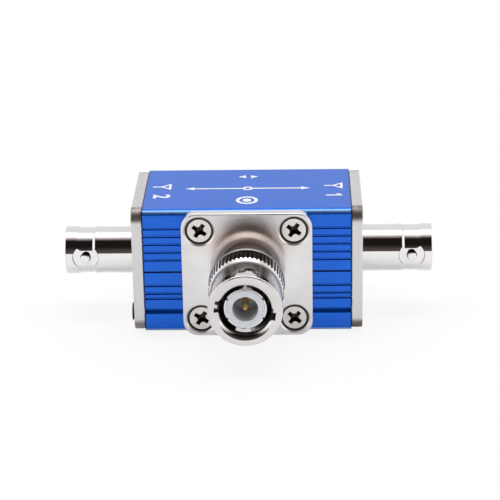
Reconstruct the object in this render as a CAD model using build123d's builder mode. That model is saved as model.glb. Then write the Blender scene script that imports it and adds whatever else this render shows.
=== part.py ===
from build123d import *
import math
import os

# Two-way coaxial antenna switch: a small split aluminium case with a bayonet plug for the
# radio on its front, a bayonet jack for an antenna on each end plate, and a toggle switch
# on its back.
#
# Frame: millimetres, +Z up, +X towards antenna jack 1, +Y towards the toggle switch.
# The origin is the centre of the case's bottom face.  All connector axes lie in the
# mid-height plane of the case, and they cross its vertical centre line.

os.makedirs("parts", exist_ok=True)

SIDES = ((1, "right"), (-1, "left"))
CORNERS = ((-1, -1), (-1, 1), (1, -1), (1, 1))
CHAMFER_ANGLE = 45

# ------------------------------------------------------------------ driving dimensions

# Clearances.
fixed_clearance = 0.03          # radial, between parts that are pressed or screwed together
running_clearance = 0.05        # radial, between parts that turn or slide
hole_clearance = 0.1            # radial, between a stem and the panel hole that it passes
face_gap = 0.2                  # between a moving face and the fixed face beside it

# Case: two equal extruded shells, closed by two end plates.
case_size = 25.4                # height and depth of the square case
case_length = 40.6              # length of the shells along X
case_wall = 1.5
case_edge_radius = 1.2
seam_edge_radius = 0.2
lap_height = 0.8                # tongue that locates one shell in the other
fin_first_height = 2.43         # lowest groove of the finned wall, above the seam
fin_pitch = 1.62
fin_count = 5
fin_groove_width = 0.38
fin_groove_depth = 0.35
fin_lip_share = 0.8             # rounding of the lip above a groove, as a share of its depth
rib_groove_heights = (2.95, 4.58, 5.65)     # narrow grooves of the other wall
cove_height = 7.63              # ledge of that wall's cove, above the seam
cove_width = 1.19
cove_depth = 0.53
cove_edge_radius = 0.1
plate_thickness = 2.15
plate_corner_radius = 2.4
plate_edge_chamfer = 0.15

# Screws of the end plates (M2) and of the plug's flange (M3), both countersunk.
plate_screw_inset = 3.2         # from the plate's edges to the screw's axis
plate_screw_radius = 1.0
plate_screw_head_radius = 1.8
plate_screw_length = 8.0
plate_screw_boss_radius = 2.1
proud_screw_height = 0.5        # one screw of the left plate isn't driven home
flange_screw_inset = 3.57       # from the flange's edges to the screw's axis
flange_screw_radius = 1.5
flange_screw_head_radius = 2.32
flange_screw_length = 6.0
flange_screw_sink = 0.45        # the heads lie this far below the flange's face
flange_seat_gap = 0.38          # radial, round a sunk head
flange_seat_chamfer = 0.35      # at the seat's edge
screw_head_rim = 0.05           # straight edge of a countersunk head
recess_depth_share = 0.6        # depth of the cross recess as a share of the head radius
recess_arm_share = 0.66         # reach of an arm of the cross recess, same share
recess_arm_width_share = 0.36
recess_web_share = 0.24         # rounding between two arms
recess_taper = 12.0
screw_point_share = 0.33        # chamfer of the screw's point as a share of its radius
countersink_angle = 90.0
plate_screw_turns = (65.0, 25.0, 25.0, 65.0)
flange_screw_turns = (58.0, 57.0, 50.0, 57.0)

# Radio plug, lengths measured forward from the flange's front face.
flange_thickness = 2.0
flange_corner_radius = 3.0
flange_edge_radius = 0.3
spigot_radius = 4.7
spigot_reach = 1.0              # how far the spigot stands into the case
hub_radius = 5.3
shoulder_radius = 6.1
shoulder_thickness = 0.9
nose_radius = 4.85
nose_length = 0.95
gasket_thickness = 1.3
gasket_radius = 4.75
gasket_edge_radius = 0.15
sleeve_outer_radius = 4.075
sleeve_wall = 0.35
sleeve_tip_radius = 0.2         # rounding of its outer edge
sleeve_seat_start = 6.0
sleeve_tip_recess = 1.2         # behind the coupling ring's front
sleeve_slot_count = 6
sleeve_slot_width = 0.45
sleeve_slot_length = 6.2
plug_tail_radius = 3.2          # insulator inside the hub and the spigot
plug_tail_reach = 0.4           # insulator beyond the spigot
plug_socket_radius = 2.45
plug_socket_depth = 5.6
plug_insulator_recess = 1.0     # behind the coupling ring's front
pin_radius = 0.675
pin_stem_radius = 1.0
pin_tip_length = 0.8
pin_tip_radius = 0.2
pin_recess = 0.15               # tip behind the insulator's front
solder_cup_length = 1.8
solder_cup_depth = 1.3
solder_cup_bore_radius = 0.6

# Coupling ring.
ring_start = 3.6
ring_front = 18.0
ring_lip_thickness = 1.9
ring_back_bevel = 0.8           # at 45 degrees, round the back edge
ring_lip_bore_radius = 5.5
knurl_radius = 7.2
knurl_end = 8.8
knurl_count = 54
knurl_groove_width = 0.5
knurl_groove_depth = 0.18
knurl_rim_radius = 7.35         # plain edge behind the knurl
knurl_rim_width = 0.2
knurl_rim_slope = 0.35          # length of its sloping front
ring_cone_end = 9.8
ring_neck_radius = 6.7
rim_start = 16.2
rim_radius = 7.05
rim_edge_radius = 0.3
ring_bore_radius = 4.95
ring_mouth_flare = 1.5          # by which the rounded mouth is wider than the bore
ring_mouth_depth = 0.55
bayonet_floor_radius = 5.8
bayonet_slot_width = 2.3
bayonet_entry_angle = 171.0     # seen from the front, anticlockwise from +X
bayonet_turn = 87.0             # clockwise from the entry to the lock hole
bayonet_entry_depth = 1.2       # from the ring's front to the middle of the slot's start
bayonet_lock_depth = 3.4        # from the ring's front to the middle of the slot's end
lock_hole_radius = 1.9
lock_hole_depth = 2.95          # centre of the hole, behind the ring's front
ring_travel = 0.8
slip_washer_thickness = 0.35
ring_spring_height = 1.1
ring_spring_thickness = 0.25

# Antenna jacks, lengths measured outward from the end plate's outer face.
jack_length = 14.1
jack_radius = 4.8
jack_shank_radius = 4.7
jack_collar_length = 6.6        # full-size part at the mouth
jack_waist_depth = 0.2          # shallow turned groove that the lugs stand in
jack_waist_width = 3.8
jack_waist_slope = 0.45         # length of the groove's side towards the case
jack_waist_mouth_slope = 0.9    # length of its gentler side towards the mouth
jack_bore_radius = 4.1
jack_bore_depth = 9.0
jack_mouth_chamfer = 0.3
jack_edge_chamfer = 0.15
lug_radius = 0.9
lug_tip_radius = 5.5            # from the jack's axis to a lug's end
lug_setback = 4.1               # lug centre behind the mouth
lug_flat_radius = 2.55
lug_flat_depth = 0.42
jack_thread_radius = 4.0
jack_thread_length = 6.0
jack_insulator_radius = 2.4
jack_insulator_recess = 0.35
jack_insulator_tail_radius = 2.0
jack_insulator_tail_reach = 0.5
contact_radius = 1.0
contact_bore_radius = 0.7
contact_bore_depth = 5.5
contact_slot_width = 0.25
contact_slot_length = 4.0
contact_recess = 0.3            # behind the insulator's front
ground_tag_thickness = 0.4
ground_tag_radius = 5.6
ground_tag_width = 2.2
ground_tag_reach = 8.6
lock_washer_thickness = 0.6
lock_washer_radius = 5.6
jack_nut_flats = 11.0
jack_nut_thickness = 2.0

# Toggle switch, lengths measured outward from the inner face of the back wall.
toggle_case_width = 13.2
toggle_case_height = 7.9
toggle_case_depth = 8.9
toggle_case_wall = 0.9
toggle_case_floor = 1.2
toggle_frame_thickness = 0.8
bushing_radius = 3.0
bushing_length = 8.8
bushing_edge_chamfer = 0.3
ball_radius = 1.95
ball_distance = 2.2
ball_seat_length = 1.3
bushing_mouth_radius = 2.4
bushing_foot_radius = 2.5
lever_tilt = 12.5               # to each side of the middle
lever_neck_radius = 0.75
lever_neck_end = 7.0            # from the ball's centre
lever_tip_radius = 1.45
lever_length = 17.1             # from the ball's centre
lever_barrel_radius = 1.3
lever_barrel_length = 5.4
plunger_bore_radius = 0.8
plunger_bore_depth = 3.6
plunger_radius = 0.7
plunger_reach = 6.6             # from the ball's centre to the plunger's tip
plunger_length = 2.4
toggle_spring_wire = 0.2
toggle_spring_turns = 5
rocker_tilt = 8.0               # to each side of the middle
rocker_shortfall = 0.1          # by which it is shorter than the terminals are apart
rocker_width = 3.4
rocker_thickness = 0.5
rocker_ear_height = 0.9
rocker_ear_thickness = 0.4
rocker_plunger_gap = 0.15       # between plunger and rocker as they pass the middle
terminal_inset = 1.0            # from the case's inner side to an outer terminal's middle
terminal_thickness = 0.8
terminal_width = 2.0
terminal_reach = 4.0            # outside the switch's case
toggle_washer_thickness = 0.5
toggle_washer_radius = 5.0
toggle_nut_flats = 8.0
toggle_nut_thickness = 2.0

# Leads inside the case.
lead_radius = 0.45
lead_bend_share = 0.45          # share of a straight run that an arc beside it may take
lead_end_run = 1.6              # straight run out of a solder cup or a tag
plug_lead_shift = 0.5
blade_joint_inset = 1.0         # from a terminal's tip to the lead soldered to its side
tag_joint_inset = 1.2           # from a ground tag's end to the lead soldered to it
ground_lead_bends = ((17.0, 3.6), (13.2, 1.8), (9.0, 0.7))  # x, distance from the front wall

# ------------------------------------------------------------------ derived places

case_half = case_size / 2
axis_height = case_half
shell_half_length = case_length / 2
jack_face_x = shell_half_length + plate_thickness
inner_face = case_half - case_wall
flange_face = case_half + flange_thickness
flange_size = case_size
plate_screw_offset = case_half - plate_screw_inset
flange_back_depth = -flange_thickness
spigot_back = flange_back_depth - case_wall - spigot_reach
flange_screw_spacing = flange_size - 2 * flange_screw_inset
flange_screw_offset = flange_screw_spacing / 2
flange_screw_hole_depth = flange_screw_length + flange_screw_sink - flange_thickness + face_gap
sleeve_tip = ring_front - sleeve_tip_recess
plug_insulator_tip = ring_front - plug_insulator_recess
ring_step = ring_start + ring_lip_thickness + slip_washer_thickness + ring_spring_height + shoulder_thickness
shoulder_back = ring_step - shoulder_thickness
nose_end = ring_step + nose_length
ring_cavity_radius = shoulder_radius + running_clearance

# Planes: X along the connector's axis and Y upward, for the profiles that are turned.
section_plane = Plane(origin=(0, 0, axis_height), x_dir=(0, 1, 0), z_dir=(1, 0, 0))
section_plane_turned = Plane(origin=(0, 0, axis_height), x_dir=(0, -1, 0), z_dir=(1, 0, 0))
front_plane = Plane(origin=(0, -case_half, axis_height), x_dir=(1, 0, 0), z_dir=(0, -1, 0))
back_plane = Plane(origin=(0, case_half, axis_height), x_dir=(-1, 0, 0), z_dir=(0, 1, 0))
plug_profile_plane = Plane(origin=(0, -flange_face, axis_height), x_dir=(0, -1, 0), z_dir=(-1, 0, 0))
plug_front_plane = Plane(origin=(0, -flange_face, axis_height), x_dir=(1, 0, 0), z_dir=(0, -1, 0))
plug_axis = Axis((0, -flange_face, axis_height), (0, -1, 0))
toggle_profile_plane = Plane(origin=(0, inner_face, axis_height), x_dir=(0, 1, 0), z_dir=(1, 0, 0))
toggle_panel_plane = Plane(origin=(0, inner_face, axis_height), x_dir=(-1, 0, 0), z_dir=(0, 1, 0))
toggle_axis = Axis((0, inner_face, axis_height), (0, 1, 0))


def jack_profile_plane(side):
    """Horizontal plane of an antenna jack's turned profiles, X outward from the end plate."""
    return Plane(origin=(side * jack_face_x, 0, axis_height), x_dir=(side, 0, 0), z_dir=(0, 0, 1))


def jack_cross_plane(side, distance):
    """Plane across an antenna jack's axis, facing outward."""
    origin = (side * (jack_face_x + distance), 0, axis_height)
    return Plane(origin=origin, x_dir=(0, side, 0), z_dir=(side, 0, 0))


def jack_axis(side):
    """Axis of an antenna jack, pointing outward."""
    return Axis((side * jack_face_x, 0, axis_height), (side, 0, 0))


# ------------------------------------------------------------------ case shells


# One cross-section serves both shells.  It has fins on its left wall and ribs on its right
# one; on the lower shell it is turned half a turn, so each side of the case shows both.
for shell_name, shell_plane in (("upper_shell", section_plane), ("lower_shell", section_plane_turned)):
    with BuildPart() as shell:
        with BuildSketch(shell_plane) as section:
            with Locations((0, case_half / 2)):
                Rectangle(case_size, case_half)
            fillet(section.vertices().group_by(Axis.Y)[-1], case_edge_radius)
            with Locations((0, inner_face / 2)):
                Rectangle(2 * inner_face, inner_face, mode=Mode.SUBTRACT)
            with Locations(*[(sign * plate_screw_offset, plate_screw_offset) for sign in (1, -1)]):
                Circle(plate_screw_boss_radius)
                Circle(plate_screw_radius + fixed_clearance, mode=Mode.SUBTRACT)

            # Grooves of the finned wall.  The lip above each one is rounded.
            lip_radius = fin_lip_share * fin_groove_depth
            with Locations(*[(-case_half, fin_first_height + i * fin_pitch) for i in range(fin_count)]):
                Rectangle(2 * fin_groove_depth, fin_groove_width, mode=Mode.SUBTRACT)
            left_edge = section.vertices().group_by(Axis.X)[0].sort_by(Axis.Y)
            fillet(left_edge[2:-1:2], lip_radius)

            # Grooves of the ribbed wall, which is upside down on the lower shell.
            with Locations(*[(case_half, height) for height in rib_groove_heights]):
                Rectangle(2 * fin_groove_depth, fin_groove_width, mode=Mode.SUBTRACT)
            cove_ledge = (case_half, cove_height)
            cove_start = (case_half - cove_depth, cove_height)
            cove_end = (case_half, cove_height + cove_width)
            with BuildLine():
                TangentArc(cove_start, cove_end, tangent=(0, 1))
                Polyline(cove_end, cove_ledge, cove_start)
            make_face(mode=Mode.SUBTRACT)
            right_edge = section.vertices().group_by(Axis.X)[-1].sort_by(Axis.Y)
            fillet(right_edge[1:-3:2], lip_radius)
            fillet(section.vertices().group_by(Axis.X)[-1].sort_by(Axis.Y)[-3:-1], cove_edge_radius)

            # Tongue inside the left wall, and on the right the rebate for the other's tongue.
            seam_corners = section.vertices().group_by(Axis.Y)[0].sort_by(Axis.X)
            fillet([seam_corners[0], seam_corners[-1]], seam_edge_radius)
            lap_thickness = case_wall / 2
            tongue_thickness = lap_thickness - running_clearance
            with Locations((-inner_face - tongue_thickness / 2, 0)):
                Rectangle(tongue_thickness, 2 * lap_height)
            with Locations((inner_face + lap_thickness / 2, 0)):
                Rectangle(lap_thickness, 2 * (lap_height + running_clearance), mode=Mode.SUBTRACT)
        extrude(amount=shell_half_length, both=True)

        # Openings for the plug's spigot, its flange screws and the toggle's bushing.
        with BuildSketch(front_plane):
            Circle(spigot_radius + hole_clearance)
        extrude(amount=-2 * case_wall, mode=Mode.SUBTRACT)
        with BuildSketch(front_plane):
            with GridLocations(flange_screw_spacing, flange_screw_spacing, 2, 2):
                Circle(flange_screw_radius + fixed_clearance)
        extrude(amount=-flange_screw_hole_depth, mode=Mode.SUBTRACT)
        with BuildSketch(back_plane):
            Circle(bushing_radius + hole_clearance)
        extrude(amount=-2 * case_wall, mode=Mode.SUBTRACT)
    shell.part.label = shell_name
    export_step(shell.part, f"parts/{shell_name}.step")

# ------------------------------------------------------------------ countersunk screws


def countersunk_screw(head_radius, shank_radius, length):
    """A countersunk cross-recess screw, head's face at the origin, shank along -Z."""
    point = screw_point_share * shank_radius
    outline = (
        (0, 0),
        (head_radius, 0),
        (head_radius, -screw_head_rim),
        (shank_radius, -screw_head_rim - (head_radius - shank_radius)),
        (shank_radius, -length + point),
        (shank_radius - point, -length),
        (0, -length),
    )
    arm_reach = 2 * recess_arm_share * head_radius
    arm_width = recess_arm_width_share * head_radius
    web_radius = recess_web_share * head_radius
    with BuildPart(mode=Mode.PRIVATE) as screw:
        with BuildSketch(Plane.XZ):
            with BuildLine():
                Polyline(*outline, close=True)
            make_face()
        revolve(axis=Axis.Z)
        with BuildSketch(Plane.XY) as recess:
            Rectangle(arm_reach, arm_width)
            Rectangle(arm_width, arm_reach)
            fillet(recess.vertices().sort_by(lambda corner: corner.center().length)[:4], web_radius)
        extrude(amount=-recess_depth_share * head_radius, taper=recess_taper, mode=Mode.SUBTRACT)
    return screw.part


flange_screw = countersunk_screw(flange_screw_head_radius, flange_screw_radius, flange_screw_length)
plate_screw = countersunk_screw(plate_screw_head_radius, plate_screw_radius, plate_screw_length)

# ------------------------------------------------------------------ end plates

for side, side_name in SIDES:
    with BuildPart() as end_plate:
        with BuildSketch(jack_cross_plane(side, -plate_thickness)):
            RectangleRounded(case_size, case_size, plate_corner_radius)
        extrude(amount=plate_thickness)
        for broad_face in end_plate.faces().filter_by(Axis.X):
            chamfer(broad_face.edges(), plate_edge_chamfer)
        with BuildSketch(jack_cross_plane(side, 0)):
            Circle(jack_thread_radius + hole_clearance)
        extrude(amount=-plate_thickness, mode=Mode.SUBTRACT)
        with Locations(jack_cross_plane(side, 0)):
            with GridLocations(2 * plate_screw_offset, 2 * plate_screw_offset, 2, 2):
                CounterSinkHole(
                    radius=plate_screw_radius + hole_clearance,
                    counter_sink_radius=plate_screw_head_radius + screw_head_rim + fixed_clearance,
                    depth=plate_thickness,
                    counter_sink_angle=countersink_angle,
                )
    end_plate.part.label = f"end_plate_{side_name}"
    export_step(end_plate.part, f"parts/end_plate_{side_name}.step")

    with BuildPart() as end_plate_screws:
        for (y_sign, z_sign), turn in zip(CORNERS, plate_screw_turns):
            proud = side < 0 and y_sign < 0 and z_sign < 0
            with Locations(jack_cross_plane(side, proud_screw_height if proud else 0)):
                with Locations((side * y_sign * plate_screw_offset, z_sign * plate_screw_offset)):
                    add(plate_screw, rotation=(0, 0, turn))
    end_plate_screws.part.label = f"end_plate_screws_{side_name}"
    export_step(end_plate_screws.part, f"parts/end_plate_screws_{side_name}.step")

# ------------------------------------------------------------------ radio plug

with BuildPart() as plug_body:
    # Flange.
    with BuildSketch(front_plane):
        RectangleRounded(flange_size, flange_size, flange_corner_radius)
    extrude(amount=flange_thickness)
    fillet(plug_body.faces().sort_by(Axis.Y)[0].edges(), flange_edge_radius)
    # Spigot, hub, shoulder and nose.
    body_outline = (
        (spigot_back, 0),
        (spigot_back, spigot_radius),
        (flange_back_depth, spigot_radius),
        (flange_back_depth, hub_radius),
        (shoulder_back, hub_radius),
        (shoulder_back, shoulder_radius),
        (ring_step, shoulder_radius),
        (ring_step, nose_radius),
        (nose_end, nose_radius),
        (nose_end, 0),
    )
    with BuildSketch(plug_profile_plane):
        with BuildLine():
            Polyline(*body_outline, close=True)
        make_face()
    revolve(axis=plug_axis)
    # Bore for the insulator's tail, and the wider seat of the contact sleeve.
    with BuildSketch(plug_front_plane.offset(spigot_back)):
        Circle(plug_tail_radius + fixed_clearance)
    extrude(amount=nose_end - spigot_back, mode=Mode.SUBTRACT)
    with BuildSketch(plug_front_plane.offset(sleeve_seat_start)):
        Circle(sleeve_outer_radius + fixed_clearance)
    extrude(amount=nose_end - sleeve_seat_start, mode=Mode.SUBTRACT)
    # Screw seats: a chamfered pocket round each sunk head, and a countersunk hole below it.
    seat_radius = flange_screw_head_radius + flange_seat_gap
    seat_depth = flange_screw_sink + screw_head_rim
    with BuildSketch(plug_front_plane):
        with GridLocations(flange_screw_spacing, flange_screw_spacing, 2, 2):
            Circle(seat_radius + flange_seat_chamfer)
    extrude(amount=-flange_seat_chamfer, taper=CHAMFER_ANGLE, mode=Mode.SUBTRACT)
    with BuildSketch(plug_front_plane):
        with GridLocations(flange_screw_spacing, flange_screw_spacing, 2, 2):
            Circle(seat_radius)
    extrude(amount=-seat_depth, mode=Mode.SUBTRACT)
    with Locations(plug_front_plane.offset(-seat_depth)):
        with GridLocations(flange_screw_spacing, flange_screw_spacing, 2, 2):
            CounterSinkHole(
                radius=flange_screw_radius + hole_clearance,
                counter_sink_radius=flange_screw_head_radius + fixed_clearance,
                depth=flange_thickness - seat_depth,
                counter_sink_angle=countersink_angle,
            )
plug_body.part.label = "plug_body"
export_step(plug_body.part, "parts/plug_body.step")

with BuildPart() as flange_screws:
    with Locations(plug_front_plane.offset(-flange_screw_sink)):
        for (x_sign, z_sign), turn in zip(CORNERS, flange_screw_turns):
            with Locations((x_sign * flange_screw_offset, z_sign * flange_screw_offset)):
                add(flange_screw, rotation=(0, 0, turn))
flange_screws.part.label = "flange_screws"
export_step(flange_screws.part, "parts/flange_screws.step")

with BuildPart() as plug_sleeve:
    with BuildSketch(plug_front_plane.offset(sleeve_seat_start)):
        Circle(sleeve_outer_radius)
        Circle(sleeve_outer_radius - sleeve_wall, mode=Mode.SUBTRACT)
    extrude(amount=sleeve_tip - sleeve_seat_start)
    fillet(plug_sleeve.edges().group_by(Axis.Y)[0].sort_by(SortBy.RADIUS)[-1], sleeve_tip_radius)
    with BuildSketch(plug_front_plane.offset(sleeve_tip)):
        with PolarLocations(sleeve_outer_radius, sleeve_slot_count, start_angle=90):
            Rectangle(2 * sleeve_wall + sleeve_slot_width, sleeve_slot_width)
    extrude(amount=-sleeve_slot_length, mode=Mode.SUBTRACT)
plug_sleeve.part.label = "plug_sleeve"
export_step(plug_sleeve.part, "parts/plug_sleeve.step")

with BuildPart() as plug_insulator:
    insulator_back = spigot_back - plug_tail_reach
    insulator_outline = (
        (insulator_back, pin_stem_radius + fixed_clearance),
        (insulator_back, plug_tail_radius),
        (sleeve_seat_start, plug_tail_radius),
        (sleeve_seat_start, sleeve_outer_radius - sleeve_wall - fixed_clearance),
        (plug_insulator_tip, sleeve_outer_radius - sleeve_wall - fixed_clearance),
        (plug_insulator_tip, plug_socket_radius),
        (plug_insulator_tip - plug_socket_depth, plug_socket_radius),
        (plug_insulator_tip - plug_socket_depth, pin_stem_radius + fixed_clearance),
    )
    with BuildSketch(plug_profile_plane):
        with BuildLine():
            Polyline(*insulator_outline, close=True)
        make_face()
    revolve(axis=plug_axis)
plug_insulator.part.label = "plug_insulator"
export_step(plug_insulator.part, "parts/plug_insulator.step")

with BuildPart() as plug_pin:
    pin_tip = plug_insulator_tip - pin_recess
    pin_cup_end = insulator_back - solder_cup_length
    pin_outline = (
        (pin_cup_end, 0),
        (pin_cup_end, pin_stem_radius),
        (plug_insulator_tip - plug_socket_depth, pin_stem_radius),
        (plug_insulator_tip - plug_socket_depth, pin_radius),
        (pin_tip - pin_tip_length, pin_radius),
        (pin_tip, pin_tip_radius),
        (pin_tip, 0),
    )
    with BuildSketch(plug_profile_plane):
        with BuildLine():
            Polyline(*pin_outline, close=True)
        make_face()
    revolve(axis=plug_axis)
    with BuildSketch(plug_front_plane.offset(pin_cup_end)):
        Circle(solder_cup_bore_radius)
    extrude(amount=solder_cup_depth, mode=Mode.SUBTRACT)
plug_pin.part.label = "plug_pin"
export_step(plug_pin.part, "parts/plug_pin.step")

with BuildPart() as plug_gasket:
    with BuildSketch(plug_front_plane.offset(nose_end)):
        Circle(gasket_radius)
        Circle(sleeve_outer_radius + fixed_clearance, mode=Mode.SUBTRACT)
    extrude(amount=gasket_thickness)
    fillet(plug_gasket.faces().sort_by(Axis.Y)[0].edges(), gasket_edge_radius)
plug_gasket.part.label = "plug_gasket"
export_step(plug_gasket.part, "parts/plug_gasket.step")

# ------------------------------------------------------------------ coupling ring


def bayonet_plane(angle, radius, distance):
    """Plane that touches a cylinder about the plug's axis; Z points outward, X along the axis."""
    direction = (math.cos(math.radians(angle)), 0, math.sin(math.radians(angle)))
    origin = (
        radius * direction[0],
        -flange_face - distance,
        axis_height + radius * direction[2],
    )
    return Plane(origin=origin, x_dir=(0, -1, 0), z_dir=direction)


# Two bayonet slots on opposite sides: a straight entry, a spiral run and a lock hole.
slot_middle = (ring_bore_radius - face_gap + bayonet_floor_radius) / 2
slot_thickness = bayonet_floor_radius - ring_bore_radius + face_gap
slot_rise = bayonet_lock_depth - bayonet_entry_depth
slots = []
for entry in (bayonet_entry_angle, bayonet_entry_angle + 180):
    start_plane = bayonet_plane(entry, 0, ring_front - bayonet_entry_depth)
    spiral_plane = Plane(origin=start_plane.origin, x_dir=start_plane.z_dir, z_dir=(0, 1, 0))
    spiral = Helix(pitch=slot_rise * 360 / bayonet_turn, height=slot_rise, radius=slot_middle)
    slots.append((entry, start_plane.z_dir, spiral_plane * spiral))

knurl_rim_start = ring_start + ring_back_bevel
knurl_start = knurl_rim_start + knurl_rim_width + knurl_rim_slope
knurl_cutter_radius = (knurl_groove_width**2 / 4 + knurl_groove_depth**2) / (2 * knurl_groove_depth)

with BuildPart() as coupling_ring:
    rim_edge_start = (ring_front - rim_edge_radius, rim_radius)
    rim_edge_end = (ring_front, rim_radius - rim_edge_radius)
    mouth_start = (ring_front, ring_bore_radius + ring_mouth_flare)
    mouth_end = (ring_front - ring_mouth_depth, ring_bore_radius)
    ring_outline = (
        mouth_end,
        (ring_step, ring_bore_radius),
        (ring_step, ring_cavity_radius),
        (ring_start + ring_lip_thickness, ring_cavity_radius),
        (ring_start + ring_lip_thickness, ring_lip_bore_radius),
        (ring_start, ring_lip_bore_radius),
        (ring_start, knurl_rim_radius - ring_back_bevel),
        (knurl_rim_start, knurl_rim_radius),
        (knurl_rim_start + knurl_rim_width, knurl_rim_radius),
        (knurl_start, knurl_radius),
        (knurl_end, knurl_radius),
        (ring_cone_end, ring_neck_radius),
        (rim_start, ring_neck_radius),
        (rim_start, rim_radius),
        rim_edge_start,
    )
    with BuildSketch(plug_profile_plane):
        with BuildLine():
            Polyline(*ring_outline)
            RadiusArc(rim_edge_start, rim_edge_end, rim_edge_radius)
            Line(rim_edge_end, mouth_start)
            TangentArc(mouth_start, mouth_end, tangent=(0, -1))
        make_face()
    revolve(axis=plug_axis)
    # Straight knurl, running out on the cone.
    with BuildSketch(plug_front_plane.offset(knurl_start)):
        with PolarLocations(knurl_radius - knurl_groove_depth + knurl_cutter_radius, knurl_count):
            Circle(knurl_cutter_radius)
    extrude(amount=ring_cone_end - knurl_start, mode=Mode.SUBTRACT)
    # Bayonet slots.
    for entry, entry_direction, spiral in slots:
        with BuildSketch(bayonet_plane(entry, ring_bore_radius - face_gap, ring_front)):
            Rectangle(2 * bayonet_entry_depth, bayonet_slot_width)
        extrude(amount=slot_thickness, mode=Mode.SUBTRACT)
        with BuildSketch(Plane(origin=spiral @ 0, x_dir=entry_direction, z_dir=spiral % 0)):
            Rectangle(slot_thickness, bayonet_slot_width)
        sweep(path=spiral, is_frenet=True, mode=Mode.SUBTRACT)
        lock_angle = entry - bayonet_turn
        lock_plane = bayonet_plane(lock_angle, ring_bore_radius - face_gap, ring_front - lock_hole_depth)
        with BuildSketch(lock_plane):
            Circle(lock_hole_radius)
            with Locations((lock_hole_depth - (ring_front - rim_start) + lock_hole_radius, 0)):
                Rectangle(2 * lock_hole_radius, 2 * lock_hole_radius, mode=Mode.SUBTRACT)
        extrude(amount=rim_radius - ring_bore_radius, mode=Mode.SUBTRACT)
coupling_ring.part.label = "coupling_ring"
export_step(coupling_ring.part, "parts/coupling_ring.step")

with BuildPart() as ring_slip_washer:
    with BuildSketch(plug_front_plane.offset(ring_start + ring_lip_thickness)):
        Circle(shoulder_radius)
        Circle(hub_radius + running_clearance, mode=Mode.SUBTRACT)
    extrude(amount=slip_washer_thickness)
ring_slip_washer.part.label = "ring_slip_washer"
export_step(ring_slip_washer.part, "parts/ring_slip_washer.step")

with BuildPart() as ring_spring_washer:
    # A flat washer bent about the vertical: the two sides bear on the shoulder, the middle
    # on the slip washer.
    spring_back = ring_start + ring_lip_thickness + slip_washer_thickness
    bow = ring_spring_height - ring_spring_thickness
    bow_radius = (shoulder_radius**2 + bow**2) / (2 * bow)
    bow_centre = (0, -flange_face - spring_back - bow_radius)
    with BuildSketch(Plane.XY.offset(axis_height)):
        with Locations(bow_centre):
            Circle(bow_radius)
            Circle(bow_radius - ring_spring_thickness, mode=Mode.SUBTRACT)
    extrude(amount=shoulder_radius, both=True)
    with BuildSketch(plug_front_plane.offset(spring_back)):
        Circle(shoulder_radius)
        Circle(hub_radius + running_clearance, mode=Mode.SUBTRACT)
    extrude(amount=ring_spring_height, mode=Mode.INTERSECT)
ring_spring_washer.part.label = "ring_spring_washer"
export_step(ring_spring_washer.part, "parts/ring_spring_washer.step")

# ------------------------------------------------------------------ antenna jacks

insulator_tip = jack_length - jack_insulator_recess
contact_tip = insulator_tip - contact_recess
jack_tail = jack_insulator_tail_reach + jack_thread_length
jack_cup_end = jack_tail + solder_cup_length
tag_start = -plate_thickness - ground_tag_thickness
jack_washer_start = tag_start - lock_washer_thickness
jack_nut_start = jack_washer_start - jack_nut_thickness

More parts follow.
